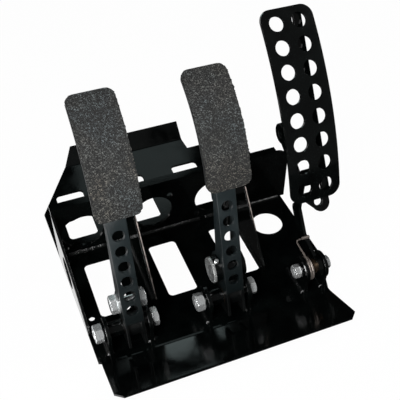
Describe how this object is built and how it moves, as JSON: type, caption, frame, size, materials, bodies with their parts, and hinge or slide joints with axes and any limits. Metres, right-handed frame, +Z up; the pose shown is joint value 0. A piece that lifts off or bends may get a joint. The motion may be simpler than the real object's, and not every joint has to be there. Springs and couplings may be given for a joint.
{
  "type": "pedal_box",
  "caption": "Floor-mounted pedal box: folded black steel base with an upright cylinder plate, gritted clutch and brake pedals and a perforated, spring-returned throttle pedal.",
  "frame": {"origin": "the middle of the four floor bolts, in the plane of the deck's underside", "axes": "+X to the driver's right, +Y forward towards the bulkhead, +Z up"},
  "size_m": [0.287, 0.3813, 0.2682],
  "materials": {
    "black_coat": "gloss black powder coat on folded steel",
    "satin_coat": "satin dark grey coat",
    "zinc_plate": "bright zinc plate",
    "grip_tape": "coarse grey grit",
    "bronze": "plain bearing bronze",
    "spring_steel": "oiled spring steel"
  },
  "bodies": {
    "chassis": {"base_plate": "black_coat", "riser_plate": "black_coat", "left_side_plate": "black_coat", "clutch_gusset": "black_coat", "brake_gusset": "black_coat", "clutch_bracket": "black_coat", "brake_bracket": "black_coat", "throttle_bracket": "black_coat", "pivot_bolts": "zinc_plate", "pivot_nuts": "zinc_plate", "pivot_washers": "black_coat", "pivot_spacers": "black_coat", "throttle_bolt": "zinc_plate", "throttle_nut": "zinc_plate", "throttle_washers": "black_coat", "throttle_spring": "spring_steel"},
    "clutch_pedal": {"clutch_arm": "satin_coat", "clutch_bush": "bronze", "clutch_pad": "black_coat", "clutch_grip": "grip_tape", "clutch_clevis_bolt": "zinc_plate", "clutch_clevis_nut": "zinc_plate"},
    "brake_pedal": {"brake_arm": "satin_coat", "brake_bush": "bronze", "brake_pad": "black_coat", "brake_grip": "grip_tape", "balance_tube": "black_coat", "balance_collar": "zinc_plate", "balance_lock_bolt": "zinc_plate"},
    "balance_bar": {"balance_bar": "spring_steel"},
    "throttle_pedal": {"throttle_pad": "black_coat", "throttle_rib": "black_coat", "throttle_lever": "black_coat", "throttle_bush": "bronze", "throttle_tube": "black_coat", "throttle_cable_arm": "black_coat", "throttle_spring_pin": "zinc_plate", "throttle_spring_leg": "spring_steel"}
  },
  "joints": [
    {"name": "clutch_hinge", "type": "hinge", "parent": "chassis", "child": "clutch_pedal", "pos_m": [-0.096, -0.128, 0.029], "axis": [-1, 0, 0], "range_deg": [0, 25]},
    {"name": "brake_hinge", "type": "hinge", "parent": "chassis", "child": "brake_pedal", "pos_m": [0.011, -0.128, 0.029], "axis": [-1, 0, 0], "range_deg": [0, 25]},
    {"name": "throttle_hinge", "type": "hinge", "parent": "chassis", "child": "throttle_pedal", "pos_m": [0.105, -0.128, 0.029], "axis": [-1, 0, 0], "range_deg": [0, 25], "stiffness_Nm_per_rad": 0.6, "springref_deg": -51.57},
    {"name": "balance_swivel", "type": "hinge", "parent": "brake_pedal", "child": "balance_bar", "pos_m": [0.00975, -0.11635, 0.05934], "axis": [0, 0.3584, 0.9336], "range_deg": [-4, 4]}
  ]
}
